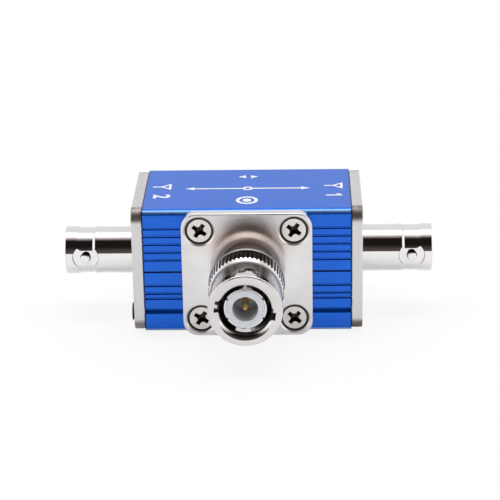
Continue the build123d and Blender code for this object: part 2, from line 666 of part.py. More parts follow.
for side, side_name in SIDES:
    profile_plane = jack_profile_plane(side)
    axis = jack_axis(side)

    with BuildPart() as jack_body:
        # The lugs stand in the middle of a shallow waist that is turned around the tube.
        waist_middle = jack_length - lug_setback
        jack_outline = (
            (-jack_thread_length, 0),
            (-jack_thread_length, jack_thread_radius),
            (0, jack_thread_radius),
            (0, jack_shank_radius),
            (jack_length - jack_collar_length, jack_shank_radius),
            (jack_length - jack_collar_length, jack_radius),
            (waist_middle - jack_waist_width / 2, jack_radius),
            (waist_middle - jack_waist_width / 2 + jack_waist_slope, jack_radius - jack_waist_depth),
            (waist_middle + jack_waist_width / 2 - jack_waist_mouth_slope, jack_radius - jack_waist_depth),
            (waist_middle + jack_waist_width / 2, jack_radius),
            (jack_length - jack_edge_chamfer, jack_radius),
            (jack_length, jack_radius - jack_edge_chamfer),
            (jack_length, 0),
        )
        with BuildSketch(profile_plane):
            with BuildLine():
                Polyline(*jack_outline, close=True)
            make_face()
        revolve(axis=axis)
        # Flat round each lug, then the lug itself.
        for y_sign in (1, -1):
            lug_base = Plane(
                origin=(side * (jack_face_x + waist_middle), 0, axis_height),
                x_dir=(1, 0, 0),
                z_dir=(0, y_sign, 0),
            )
            with BuildSketch(lug_base.offset(jack_radius - lug_flat_depth)):
                Circle(lug_flat_radius)
            extrude(amount=lug_tip_radius, mode=Mode.SUBTRACT)
            with BuildSketch(lug_base.offset(jack_bore_radius)):
                Circle(lug_radius)
            extrude(amount=lug_tip_radius - jack_bore_radius - jack_edge_chamfer)
            with BuildSketch(lug_base.offset(lug_tip_radius - jack_edge_chamfer)):
                Circle(lug_radius)
            extrude(amount=jack_edge_chamfer, taper=CHAMFER_ANGLE)
        # Bore: wide mouth for the mating sleeve, then two steps that hold the insulator.
        bore_outline = (
            (-jack_thread_length, 0),
            (-jack_thread_length, jack_insulator_tail_radius + fixed_clearance),
            (0, jack_insulator_tail_radius + fixed_clearance),
            (0, jack_insulator_radius + fixed_clearance),
            (jack_length - jack_bore_depth, jack_insulator_radius + fixed_clearance),
            (jack_length - jack_bore_depth, jack_bore_radius),
            (jack_length - jack_mouth_chamfer, jack_bore_radius),
            (jack_length, jack_bore_radius + jack_mouth_chamfer),
            (jack_length, 0),
        )
        with BuildSketch(profile_plane):
            with BuildLine():
                Polyline(*bore_outline, close=True)
            make_face()
        revolve(axis=axis, mode=Mode.SUBTRACT)
    jack_body.part.label = f"jack_body_{side_name}"
    export_step(jack_body.part, f"parts/jack_body_{side_name}.step")

    with BuildPart() as jack_insulator:
        jack_insulator_outline = (
            (-jack_tail, contact_radius + fixed_clearance),
            (-jack_tail, jack_insulator_tail_radius),
            (0, jack_insulator_tail_radius),
            (0, jack_insulator_radius),
            (insulator_tip, jack_insulator_radius),
            (insulator_tip, contact_radius + fixed_clearance),
        )
        with BuildSketch(profile_plane):
            with BuildLine():
                Polyline(*jack_insulator_outline, close=True)
            make_face()
        revolve(axis=axis)
    jack_insulator.part.label = f"jack_insulator_{side_name}"
    export_step(jack_insulator.part, f"parts/jack_insulator_{side_name}.step")

    with BuildPart() as jack_contact:
        with BuildSketch(jack_cross_plane(side, -jack_cup_end)):
            Circle(contact_radius)
        extrude(amount=contact_tip + jack_cup_end)
        with BuildSketch(jack_cross_plane(side, contact_tip)):
            Circle(contact_bore_radius)
        extrude(amount=-contact_bore_depth, mode=Mode.SUBTRACT)
        with BuildSketch(jack_cross_plane(side, contact_tip)):
            Rectangle(2 * contact_radius, contact_slot_width)
            Rectangle(contact_slot_width, 2 * contact_radius)
        extrude(amount=-contact_slot_length, mode=Mode.SUBTRACT)
    jack_contact.part.label = f"jack_contact_{side_name}"
    export_step(jack_contact.part, f"parts/jack_contact_{side_name}.step")

    with BuildPart() as jack_ground_tag:
        with BuildSketch(jack_cross_plane(side, tag_start)):
            Circle(ground_tag_radius)
            with Locations((-side * ground_tag_reach / 2, 0)):
                Rectangle(ground_tag_reach, ground_tag_width)
            Circle(jack_thread_radius + hole_clearance, mode=Mode.SUBTRACT)
        extrude(amount=ground_tag_thickness)
    jack_ground_tag.part.label = f"jack_ground_tag_{side_name}"
    export_step(jack_ground_tag.part, f"parts/jack_ground_tag_{side_name}.step")

    with BuildPart() as jack_lock_washer:
        with BuildSketch(jack_cross_plane(side, jack_washer_start)):
            Circle(lock_washer_radius)
            Circle(jack_thread_radius + hole_clearance, mode=Mode.SUBTRACT)
        extrude(amount=lock_washer_thickness)
    jack_lock_washer.part.label = f"jack_lock_washer_{side_name}"
    export_step(jack_lock_washer.part, f"parts/jack_lock_washer_{side_name}.step")

    with BuildPart() as jack_nut:
        with BuildSketch(jack_cross_plane(side, jack_nut_start)):
            RegularPolygon(jack_nut_flats / 2, 6, major_radius=False)
            Circle(jack_thread_radius + fixed_clearance, mode=Mode.SUBTRACT)
        extrude(amount=jack_nut_thickness)
    jack_nut.part.label = f"jack_nut_{side_name}"
    export_step(jack_nut.part, f"parts/jack_nut_{side_name}.step")

# ------------------------------------------------------------------ toggle switch

frame_back = -toggle_frame_thickness
case_back = frame_back - toggle_case_depth
seat_end = ball_distance + ball_seat_length
terminal_pitch = toggle_case_width / 2 - toggle_case_wall - terminal_inset
rocker_length = 2 * terminal_pitch - rocker_shortfall
ball_seat_radius = ball_radius + running_clearance
seat_neck_radius = math.sqrt(ball_seat_radius**2 - ball_seat_length**2)
ball_y = inner_face + ball_distance
pivot_y = ball_y - plunger_reach - rocker_plunger_gap - rocker_thickness
terminal_tip_y = inner_face + case_back - terminal_reach

with BuildPart() as toggle_case:
    with BuildSketch(toggle_panel_plane.offset(case_back)):
        Rectangle(toggle_case_width, toggle_case_height)
    extrude(amount=toggle_case_depth)
    with BuildSketch(toggle_panel_plane.offset(case_back + toggle_case_floor)):
        Rectangle(toggle_case_width - 2 * toggle_case_wall, toggle_case_height - 2 * toggle_case_wall)
    extrude(amount=toggle_case_depth - toggle_case_floor, mode=Mode.SUBTRACT)
    with BuildSketch(toggle_panel_plane.offset(case_back)):
        with GridLocations(terminal_pitch, 0, 3, 1):
            Rectangle(terminal_thickness + 2 * fixed_clearance, terminal_width + 2 * fixed_clearance)
    extrude(amount=toggle_case_floor, mode=Mode.SUBTRACT)
toggle_case.part.label = "toggle_case"
export_step(toggle_case.part, "parts/toggle_case.step")

with BuildPart() as toggle_frame:
    with BuildSketch(toggle_panel_plane.offset(frame_back)):
        Rectangle(toggle_case_width, toggle_case_height)
    extrude(amount=toggle_frame_thickness)
    with BuildSketch(toggle_panel_plane):
        Circle(bushing_radius)
    extrude(amount=bushing_length)
    chamfer(toggle_frame.faces().sort_by(Axis.Y)[-1].edges(), bushing_edge_chamfer)
    # Bore: a flare for the lever's inner end, the ball's seat, and a flare for its neck.
    with BuildSketch(toggle_profile_plane):
        with BuildLine():
            Polyline(
                (ball_distance, ball_seat_radius),
                (ball_distance / 2, ball_seat_radius),
                (frame_back, bushing_foot_radius),
                (frame_back, 0),
                (bushing_length, 0),
                (bushing_length, bushing_mouth_radius),
                (seat_end, seat_neck_radius),
            )
            RadiusArc((seat_end, seat_neck_radius), (ball_distance, ball_seat_radius), -ball_seat_radius)
        make_face()
    revolve(axis=toggle_axis, mode=Mode.SUBTRACT)
toggle_frame.part.label = "toggle_frame"
export_step(toggle_frame.part, "parts/toggle_frame.step")

with BuildPart() as toggle_washer:
    with BuildSketch(toggle_panel_plane.offset(case_wall)):
        Circle(toggle_washer_radius)
        Circle(bushing_radius + hole_clearance, mode=Mode.SUBTRACT)
    extrude(amount=toggle_washer_thickness)
toggle_washer.part.label = "toggle_washer"
export_step(toggle_washer.part, "parts/toggle_washer.step")

with BuildPart() as toggle_nut:
    with BuildSketch(toggle_panel_plane.offset(case_wall + toggle_washer_thickness)):
        RegularPolygon(toggle_nut_flats / 2, 6, major_radius=False)
        Circle(bushing_radius + fixed_clearance, mode=Mode.SUBTRACT)
    extrude(amount=toggle_nut_thickness)
toggle_nut.part.label = "toggle_nut"
export_step(toggle_nut.part, "parts/toggle_nut.step")

# The lever leans towards antenna jack 1: its profiles run along the leaning axis.
tilt_sine = math.sin(math.radians(lever_tilt))
tilt_cosine = math.cos(math.radians(lever_tilt))
lever_plane = Plane(
    origin=(0, ball_y, axis_height),
    x_dir=(tilt_sine, tilt_cosine, 0),
    z_dir=(tilt_cosine, -tilt_sine, 0),
)
lever_axis = Axis((0, ball_y, axis_height), (tilt_sine, tilt_cosine, 0))

with BuildPart() as toggle_lever:
    ball_neck = math.sqrt(ball_radius**2 - lever_neck_radius**2)
    ball_barrel = math.sqrt(ball_radius**2 - lever_barrel_radius**2)
    tip_start = lever_length - lever_tip_radius
    with BuildSketch(lever_plane):
        with BuildLine():
            Line((-lever_barrel_length, 0), (-lever_barrel_length, lever_barrel_radius))
            Line((-lever_barrel_length, lever_barrel_radius), (-ball_barrel, lever_barrel_radius))
            ThreePointArc((-ball_barrel, lever_barrel_radius), (0, ball_radius), (ball_neck, lever_neck_radius))
            Line((ball_neck, lever_neck_radius), (lever_neck_end, lever_neck_radius))
            Line((lever_neck_end, lever_neck_radius), (tip_start, lever_tip_radius))
            ThreePointArc(
                (tip_start, lever_tip_radius),
                (tip_start + lever_tip_radius * math.sqrt(0.5), lever_tip_radius * math.sqrt(0.5)),
                (lever_length, 0),
            )
            Line((lever_length, 0), (-lever_barrel_length, 0))
        make_face()
        with Locations((plunger_bore_depth / 2 - lever_barrel_length, plunger_bore_radius / 2)):
            Rectangle(plunger_bore_depth, plunger_bore_radius, mode=Mode.SUBTRACT)
    revolve(axis=lever_axis)
toggle_lever.part.label = "toggle_lever"
export_step(toggle_lever.part, "parts/toggle_lever.step")

with BuildPart() as toggle_plunger:
    plunger_round = plunger_reach - plunger_radius
    with BuildSketch(lever_plane):
        with BuildLine():
            Line((plunger_length - plunger_reach, 0), (plunger_length - plunger_reach, plunger_radius))
            Line((plunger_length - plunger_reach, plunger_radius), (-plunger_round, plunger_radius))
            ThreePointArc(
                (-plunger_round, plunger_radius),
                (-plunger_round - plunger_radius * math.sqrt(0.5), plunger_radius * math.sqrt(0.5)),
                (-plunger_reach, 0),
            )
            Line((-plunger_reach, 0), (plunger_length - plunger_reach, 0))
        make_face()
    revolve(axis=lever_axis)
toggle_plunger.part.label = "toggle_plunger"
export_step(toggle_plunger.part, "parts/toggle_plunger.step")

spring_start = plunger_length - plunger_reach + toggle_spring_wire / 2 + face_gap / 2
spring_end = plunger_bore_depth - lever_barrel_length - toggle_spring_wire / 2 - face_gap / 2
spring_length = spring_end - spring_start
coil = Helix(
    pitch=spring_length / toggle_spring_turns,
    height=spring_length,
    radius=plunger_bore_radius - toggle_spring_wire / 2 - running_clearance,
    center=lever_plane.from_local_coords((spring_start, 0, 0)),
    direction=lever_plane.x_dir,
)
with BuildPart() as toggle_spring:
    with BuildSketch(Plane(origin=coil @ 0, z_dir=coil % 0)):
        Circle(toggle_spring_wire / 2)
    sweep(path=coil, is_frenet=True)
toggle_spring.part.label = "toggle_spring"
export_step(toggle_spring.part, "parts/toggle_spring.step")

# The rocker leans the other way, its end nearer to antenna jack 2 on the outer terminal.
rocker_sine = math.sin(math.radians(rocker_tilt))
rocker_cosine = math.cos(math.radians(rocker_tilt))
rocker_plane = Plane(
    origin=(0, pivot_y, axis_height),
    x_dir=(rocker_cosine, rocker_sine, 0),
    z_dir=(0, 0, 1),
)

with BuildPart() as toggle_rocker:
    with BuildSketch(rocker_plane):
        with Locations((0, rocker_thickness / 2)):
            Rectangle(rocker_length, rocker_thickness)
    extrude(amount=rocker_width / 2, both=True)
    for z_sign in (1, -1):
        ear_plane = rocker_plane.offset(z_sign * (rocker_width - rocker_ear_thickness) / 2)
        with BuildSketch(ear_plane):
            with Locations((0, rocker_ear_height / 2)):
                Rectangle(rocker_length / 2, rocker_ear_height)
        extrude(amount=rocker_ear_thickness / 2, both=True)
toggle_rocker.part.label = "toggle_rocker"
export_step(toggle_rocker.part, "parts/toggle_rocker.step")

with BuildPart() as toggle_terminals:
    contact_drop = rocker_length / 2 * rocker_sine + hole_clearance
    centre_top = pivot_y - running_clearance
    side_top = pivot_y - contact_drop
    for place, top in ((0, centre_top), (terminal_pitch, side_top), (-terminal_pitch, side_top)):
        with BuildSketch(Plane(origin=(place, terminal_tip_y, axis_height), x_dir=(1, 0, 0), z_dir=(0, 1, 0))):
            Rectangle(terminal_thickness if place else terminal_thickness / 2, terminal_width)
        extrude(amount=top - terminal_tip_y)
toggle_terminals.part.label = "toggle_terminals"
export_step(toggle_terminals.part, "parts/toggle_terminals.step")

# ------------------------------------------------------------------ leads


def lead(points):
    """A round lead along straight runs that are joined by arcs as large as the runs allow."""
    route = [Vector(*point) for point in points]
    runs = [end - start for start, end in zip(route, route[1:])]
    radii = []
    for before, after in zip(runs, runs[1:]):
        half_turn = math.radians(before.get_angle(after)) / 2
        radii.append(lead_bend_share * min(before.length, after.length) / math.tan(half_turn))
    with BuildPart(mode=Mode.PRIVATE) as wire:
        with BuildLine():
            path = FilletPolyline(*route, radius=radii)
        with BuildSketch(Plane(origin=path @ 0, z_dir=path % 0)):
            Circle(lead_radius)
        sweep(path=path)
    print("lead radii", [round(radius, 1) for radius in radii], "length", round(path.length, 2))
    return wire.part


pin_cup_y = -flange_face - pin_cup_end
with BuildPart() as signal_lead_plug:
    add(
        lead(
            (
                (0, pin_cup_y, axis_height),
                (0, pin_cup_y + lead_end_run, axis_height),
                (0, terminal_tip_y - lead_end_run, axis_height + plug_lead_shift),
                (0, terminal_tip_y, axis_height + plug_lead_shift),
            )
        )
    )
signal_lead_plug.part.label = "signal_lead_plug"
export_step(signal_lead_plug.part, "parts/signal_lead_plug.step")

blade_side_x = terminal_pitch + terminal_thickness / 2
blade_joint_y = terminal_tip_y + blade_joint_inset
jack_cup_x = jack_face_x - jack_cup_end
tag_inner_x = jack_face_x + tag_start
tag_joint_y = -ground_tag_reach + tag_joint_inset
spigot_joint_y = -inner_face + spigot_reach / 2

for side, side_name in SIDES:
    with BuildPart() as signal_lead:
        add(
            lead(
                (
                    (side * blade_side_x, blade_joint_y, axis_height),
                    (side * (blade_side_x + lead_end_run), blade_joint_y, axis_height),
                    (side * (jack_cup_x - lead_end_run), 0, axis_height),
                    (side * jack_cup_x, 0, axis_height),
                )
            )
        )
    signal_lead.part.label = f"signal_lead_{side_name}"
    export_step(signal_lead.part, f"parts/signal_lead_{side_name}.step")

    with BuildPart() as ground_lead:
        add(
            lead(
                (
                    (side * tag_inner_x, tag_joint_y, axis_height),
                    *[(side * x, gap - inner_face, axis_height) for x, gap in ground_lead_bends],
                    (side * (spigot_radius - face_gap), spigot_joint_y, axis_height),
                )
            )
        )
    ground_lead.part.label = f"ground_lead_{side_name}"
    export_step(ground_lead.part, f"parts/ground_lead_{side_name}.step")
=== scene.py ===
"""Looks of the two-way coaxial antenna switch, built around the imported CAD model.

Lengths are in millimetres unless a comment says otherwise, and MM turns them into metres.
Colours are linear. In the materials, x, y and z are object coordinates, with z measured from
the axis that the plug and both jacks share. What is painted by place stays on its piece when
the piece moves.
"""

import math
from typing import NamedTuple

import bmesh
import bpy
from mathutils import Matrix, Vector


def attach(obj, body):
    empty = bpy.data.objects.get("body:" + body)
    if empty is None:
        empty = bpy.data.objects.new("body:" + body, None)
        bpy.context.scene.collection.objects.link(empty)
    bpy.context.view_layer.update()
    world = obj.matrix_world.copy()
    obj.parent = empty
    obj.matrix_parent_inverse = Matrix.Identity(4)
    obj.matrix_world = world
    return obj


MM = 0.001
AXIS_Z = 12.7
TOP_Z = 25.4

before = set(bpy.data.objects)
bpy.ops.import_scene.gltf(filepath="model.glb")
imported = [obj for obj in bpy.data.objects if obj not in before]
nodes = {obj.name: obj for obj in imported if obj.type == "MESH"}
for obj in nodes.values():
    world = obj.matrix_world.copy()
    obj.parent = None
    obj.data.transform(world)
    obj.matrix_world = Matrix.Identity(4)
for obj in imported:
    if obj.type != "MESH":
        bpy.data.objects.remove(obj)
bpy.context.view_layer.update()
scene = bpy.context.scene
scene.view_settings.view_transform = "Standard"

# ---------------------------------------------------------------- camera

YAW, PITCH, ROLL = -0.0270, 0.3670, -0.0179  # radians
CAMERA_PLACE = (10.24, -370.535, 154.812)
LENS = 142.21
SENSOR_WIDTH = 36.0
CLIP_START, CLIP_END = 0.01, 50.0  # metres


def make_camera():
    """Camera at the photograph's viewing angle."""
    forward = Vector(
        (math.sin(YAW) * math.cos(PITCH), math.cos(YAW) * math.cos(PITCH), -math.sin(PITCH))
    )
    level = Vector((math.cos(YAW), -math.sin(YAW), 0))
    raised = level.cross(forward)
    right = math.cos(ROLL) * level + math.sin(ROLL) * raised
    up = math.cos(ROLL) * raised - math.sin(ROLL) * level
    turn = Matrix((right, up, -forward)).transposed().to_4x4()
    data = bpy.data.cameras.new("camera")
    data.lens = LENS
    data.sensor_width = SENSOR_WIDTH
    data.clip_start = CLIP_START
    data.clip_end = CLIP_END
    camera = bpy.data.objects.new("camera", data)
    camera.matrix_world = Matrix.Translation(Vector(CAMERA_PLACE) * MM) @ turn
    scene.collection.objects.link(camera)
    scene.camera = camera


make_camera()

# ---------------------------------------------------------------- node helpers

# Sockets of a Mix node: the two inputs and the output of its data type.
MIX_VALUE_SOCKETS = (2, 3, 0)
MIX_COLOR_SOCKETS = (6, 7, 2)

# Parts of a noise's values, most of which lie between 0.3 and 0.7.
MOST = (0.3, 0.7)
MIDDLE = (0.35, 0.65)

# How noise is scaled along X, Y and Z: a small number draws it out along that axis.
EVEN = (1.0, 1.0, 1.0)
LENGTHWISE = (0.02, 1.0, 1.0)
UPRIGHT = (1.0, 1.0, 0.03)
AROUND_PLUG = (0.01, 1.0, 0.01)


class Band(NamedTuple):
    """Where something fades in or out, and its share where it is full."""

    start: float
    end: float
    share: float = 1.0


def feed(tree, value, socket):
    """Link a node's output to the socket, or set a plain number or colour on it."""
    if isinstance(value, bpy.types.NodeSocket):
        tree.links.new(value, socket)
    else:
        socket.default_value = value


def new_material(name):
    material = bpy.data.materials.new(name)
    material.use_nodes = True
    tree = material.node_tree
    return material, tree, tree.nodes["Principled BSDF"]


def math_node(tree, operation, *values):
    """One operation on outputs and numbers; more than two are taken from left to right."""
    while len(values) > 2:
        values = (math_node(tree, operation, *values[:2]), *values[2:])
    node = tree.nodes.new("ShaderNodeMath")
    node.operation = operation
    for value, socket in zip(values, node.inputs):
        feed(tree, value, socket)
    return node.outputs[0]


def map_range(tree, value, limits, result, smooth=True):
    """Carry the value from its two limits over to the two results, flat outside them."""
    node = tree.nodes.new("ShaderNodeMapRange")
    node.interpolation_type = "SMOOTHSTEP" if smooth else "LINEAR"
    tree.links.new(value, node.inputs["Value"])
    names = ("From Min", "From Max", "To Min", "To Max")
    for name, number in zip(names, (*limits, *result)):
        node.inputs[name].default_value = number
    return node.outputs["Result"]


def rising(tree, value, band):
    """0 before the band and its share after it."""
    return map_range(tree, value, (band.start, band.end), (0.0, band.share))


def falling(tree, value, band):
    """The band's share before it and 0 after it."""
    return map_range(tree, value, (band.start, band.end), (band.share, 0.0))


def noise(tree, scale, stretch=EVEN, detail=3.0, roughness=0.55):
    """Noise in object coordinates, with its scale in cycles per metre."""
    coordinates = tree.nodes.new("ShaderNodeTexCoord")
    mapping = tree.nodes.new("ShaderNodeMapping")
    mapping.inputs["Scale"].default_value = stretch
    texture = tree.nodes.new("ShaderNodeTexNoise")
    texture.inputs["Scale"].default_value = scale
    texture.inputs["Detail"].default_value = detail
    texture.inputs["Roughness"].default_value = roughness
    tree.links.new(coordinates.outputs["Object"], mapping.inputs["Vector"])
    tree.links.new(mapping.outputs["Vector"], texture.inputs["Vector"])
    return texture.outputs["Fac"]


def ramp_colors(tree, value, colors, limits=MIDDLE):
    """Two colours by value, blended between the limits."""
    node = tree.nodes.new("ShaderNodeValToRGB")
    for element, color, limit in zip(node.color_ramp.elements, colors, limits):
        element.position = limit
        element.color = (*color, 1)
    tree.links.new(value, node.inputs["Fac"])
    return node.outputs["Color"]


def mix_node(tree, data_type, sockets, share, value, other):
    first, second, result = sockets
    node = tree.nodes.new("ShaderNodeMix")
    node.data_type = data_type
    tree.links.new(share, node.inputs["Factor"])
    feed(tree, value, node.inputs[first])
    feed(tree, other, node.inputs[second])
    return node.outputs[result]


def mixed_color(tree, share, color, other):
    """The colour goes over to the other one where the share is 1."""
    return mix_node(tree, "RGBA", MIX_COLOR_SOCKETS, share, color, (*other, 1))


def mixed_value(tree, share, value, other):
    """The value goes over to the other one where the share is 1."""
    return mix_node(tree, "FLOAT", MIX_VALUE_SOCKETS, share, value, other)


def bump(tree, shader, height, distance):
    """Unevenness of the surface, with its distance in metres."""
    node = tree.nodes.new("ShaderNodeBump")
    node.inputs["Strength"].default_value = 1.0
    node.inputs["Distance"].default_value = distance
    tree.links.new(height, node.inputs["Height"])
    tree.links.new(node.outputs["Normal"], shader.inputs["Normal"])


def object_axes(tree):
    """X, Y and Z of the object coordinates in millimetres, with Z from the shared axis."""
    coordinates = tree.nodes.new("ShaderNodeTexCoord")
    parts = tree.nodes.new("ShaderNodeSeparateXYZ")
    tree.links.new(coordinates.outputs["Object"], parts.inputs[0])
    x, y, up = (math_node(tree, "DIVIDE", parts.outputs[axis], MM) for axis in "XYZ")
    return x, y, math_node(tree, "SUBTRACT", up, AXIS_Z)


def axis_distance(tree, first, second):
    """Distance from an axis, by the two coordinates across it."""
    first_square = math_node(tree, "MULTIPLY", first, first)
    second_square = math_node(tree, "MULTIPLY", second, second)
    return math_node(tree, "SQRT", math_node(tree, "ADD", first_square, second_square))


def distance_to_pair(tree, value, offset):
    """Signed distance to the nearer of two planes, one at the offset on each side."""
    return math_node(tree, "SUBTRACT", math_node(tree, "ABSOLUTE", value), offset)


# ---------------------------------------------------------------- shells

BLUE = ((0.0, 0.119, 0.69), (0.002, 0.150, 0.79))
BLUE_SPECULAR = (0.0, 0.62, 0.8)
BLUE_PAINTED_HIGHLIGHT = (0.34, 0.55, 1.0)
BLUE_PAINTED_SHADE = (0.0, 0.006, 0.07)
SHELL_STREAKS = 2500.0
SHELL_CLOUDS = 120.0
SHELL_ROUGHNESS = (0.38, 0.46)
SHELL_COAT_IOR = 1.35
SHELL_COAT_ROUGHNESS = 0.13
SHELL_BUMP = 0.5e-6
# Bands of painted shade at the ends, the seam and the foot, and of a painted highlight along the
# long edges.
SHELL_END_X = 20.3
SHELL_END = Band(SHELL_END_X - 0.3, SHELL_END_X - 0.05, 0.85)
SHELL_SEAM = Band(0.12, 0.26, 0.9)
SHELL_FOOT = Band(-12.6, -12.1, 0.85)
LONG_EDGE_Y = Band(12.0, 12.3, 0.8)
LONG_EDGE_Z = Band(11.9, 12.2)


def make_blue():
    """Blue anodised extrusion: fine lengthwise streaks under a clear, slightly cloudy skin.

    Its long edges carry a painted highlight, and painted shade darkens its ends, seam and foot.
    """
    material, tree, shader = new_material("blue_anodised")
    x, y, z = object_axes(tree)
    sideways, across, upright = (math_node(tree, "ABSOLUTE", value) for value in (x, y, z))
    streaks = noise(tree, SHELL_STREAKS, LENGTHWISE, detail=5.0, roughness=0.6)
    clouds = noise(tree, SHELL_CLOUDS, detail=2.0)
    color = ramp_colors(tree, streaks, BLUE, MOST)
    # Painted highlight along the long top edges.
    edge = math_node(
        tree, "MULTIPLY", rising(tree, across, LONG_EDGE_Y), rising(tree, upright, LONG_EDGE_Z)
    )
    color = mixed_color(tree, edge, color, BLUE_PAINTED_HIGHLIGHT)
    # Painted shade at the ends beside the plates, along the seam and along the foot.
    painted_shell_shade = math_node(
        tree,
        "MAXIMUM",
        rising(tree, sideways, SHELL_END),
        falling(tree, upright, SHELL_SEAM),
        falling(tree, z, SHELL_FOOT),
    )
    tree.links.new(mixed_color(tree, painted_shell_shade, color, BLUE_PAINTED_SHADE), shader.inputs["Base Color"])
    halves = [math_node(tree, "MULTIPLY", pattern, 0.5) for pattern in (streaks, clouds)]
    rough = map_range(tree, math_node(tree, "ADD", *halves), MIDDLE, SHELL_ROUGHNESS)
    tree.links.new(rough, shader.inputs["Roughness"])
    shader.inputs["Metallic"].default_value = 1.0
    shader.inputs["Specular Tint"].default_value = (*BLUE_SPECULAR, 1)
    shader.inputs["Coat Weight"].default_value = 1.0
    shader.inputs["Coat IOR"].default_value = SHELL_COAT_IOR
    shader.inputs["Coat Roughness"].default_value = SHELL_COAT_ROUGHNESS
    bump(tree, shader, streaks, SHELL_BUMP)
    return material


# ---------------------------------------------------------------- end plates

PLATE = ((0.61, 0.595, 0.60), (0.745, 0.725, 0.73))
PLATE_STREAKS = 1800.0
PLATE_CLOUDS = 300.0
PLATE_ROUGHNESS = (0.22, 0.36)
PLATE_BUMP = 0.6e-6
# Corners, duller and tinted brown by a painted reflection of their rounding.
CORNER = Band(9.8, 11.0)
CORNER_PAINTED_REFLECTION = (0.20, 0.17, 0.155)
CORNER_RAGGED = (0.3, 0.6)
CORNER_SHARE = (0.55, 1.0)
CORNER_ROUGHNESS = 0.5


def make_plate_metal():
    """Natural aluminium plate: fine upright milling lines, duller at the corners and browner there
    by a painted reflection.
    """
    material, tree, shader = new_material("plain_aluminium")
    _, y, z = object_axes(tree)
    streaks = noise(tree, PLATE_STREAKS, UPRIGHT, detail=5.0, roughness=0.6)
    clouds = noise(tree, PLATE_CLOUDS)
    color = ramp_colors(tree, streaks, PLATE, MOST)
    near = [rising(tree, math_node(tree, "ABSOLUTE", value), CORNER) for value in (y, z)]
    corner = math_node(tree, "MULTIPLY", *near)
    ragged = map_range(tree, clouds, CORNER_RAGGED, CORNER_SHARE)
    # The ragged brown at the corners is a painted reflection.
    painted_corner_reflection = math_node(tree, "MULTIPLY", corner, ragged)
    tree.links.new(mixed_color(tree, painted_corner_reflection, color, CORNER_PAINTED_REFLECTION), shader.inputs["Base Color"])
    rough = map_range(tree, streaks, MIDDLE, PLATE_ROUGHNESS)
    rough = mixed_value(tree, corner, rough, CORNER_ROUGHNESS)
    tree.links.new(rough, shader.inputs["Roughness"])
    shader.inputs["Metallic"].default_value = 1.0
    bump(tree, shader, streaks, PLATE_BUMP)
    return material


# ---------------------------------------------------------------- flange and its screws

PLATING_CLOUDS = 175.0

FLANGE = ((0.735, 0.715, 0.72), (0.795, 0.775, 0.78))
FLANGE_ROUGHNESS = (0.16, 0.19)
FLANGE_BUMP = 0.4e-6
FLANGE_FACE_Y = -14.7
# Painted warm reflection of the coupling ring on the face above it.
PAINTED_RING_REFLECTION = (0.74, 0.60, 0.52)
RING_REFLECTION_DISTANCE = Band(8.5, 12.5, 0.9)
RING_REFLECTION_Z = Band(3.0, 9.0)
AWAY_DISTANCE = Band(9.0, 13.5)
AWAY_ROUGHNESS = 0.31
# Screw seats, darkened inside by painted shade.
SEAT_OFFSET = 9.13
SEAT_RADIUS = 2.7
SEAT_INSIDE = Band(SEAT_RADIUS + 0.05, SEAT_RADIUS + 0.2)
SEAT_DEPTH = Band(FLANGE_FACE_Y + 0.1, FLANGE_FACE_Y + 0.4)
SEAT_PAINTED_SHADE = (0.05, 0.042, 0.038)
SEAT_ROUGHNESS = 0.5

SCREW = ((0.66, 0.635, 0.615), (0.76, 0.735, 0.715))
SCREW_CLOUDS = 400.0
SCREW_GRAINS = 3000.0
SCREW_ROUGHNESS = (0.16, 0.24)
SCREW_BUMP = 0.8e-6
SCREW_FACE_Y = -14.25
# Cross recesses, darkened inside by painted shade.
RECESS_DEPTH = Band(SCREW_FACE_Y + 0.04, SCREW_FACE_Y + 0.22)
RECESS_SPECKS = (0.62, 0.72)
RECESS_SHARE = (1.0, 0.45)
RECESS_PAINTED_SHADE = (0.045, 0.036, 0.03)
RECESS_ROUGHNESS = 0.4


def make_flange_metal():
    """Satin nickel, with a painted warm reflection of the coupling ring above it and painted shade
    in the four screw seats.
    """
    material, tree, shader = new_material("satin_nickel")
    x, y, z = object_axes(tree)
    clouds = noise(tree, PLATING_CLOUDS)
    color = ramp_colors(tree, clouds, FLANGE)
    distance = axis_distance(tree, x, z)
    # Painted reflection of the coupling ring.
    painted_reflection = math_node(
        tree, "MULTIPLY", falling(tree, distance, RING_REFLECTION_DISTANCE), rising(tree, z, RING_REFLECTION_Z)
    )
    color = mixed_color(tree, painted_reflection, color, PAINTED_RING_REFLECTION)
    # Painted shade inside the screw seats.
    across_seats = [distance_to_pair(tree, value, SEAT_OFFSET) for value in (x, z)]
    from_seat = axis_distance(tree, *across_seats)
    painted_shade = math_node(
        tree, "MULTIPLY", falling(tree, from_seat, SEAT_INSIDE), rising(tree, y, SEAT_DEPTH)
    )
    tree.links.new(mixed_color(tree, painted_shade, color, SEAT_PAINTED_SHADE), shader.inputs["Base Color"])
    rough = map_range(tree, clouds, MIDDLE, FLANGE_ROUGHNESS)
    rough = mixed_value(tree, rising(tree, distance, AWAY_DISTANCE), rough, AWAY_ROUGHNESS)
    rough = mixed_value(tree, painted_shade, rough, SEAT_ROUGHNESS)
    tree.links.new(rough, shader.inputs["Roughness"])
    shader.inputs["Metallic"].default_value = 1.0
    bump(tree, shader, clouds, FLANGE_BUMP)
    return material


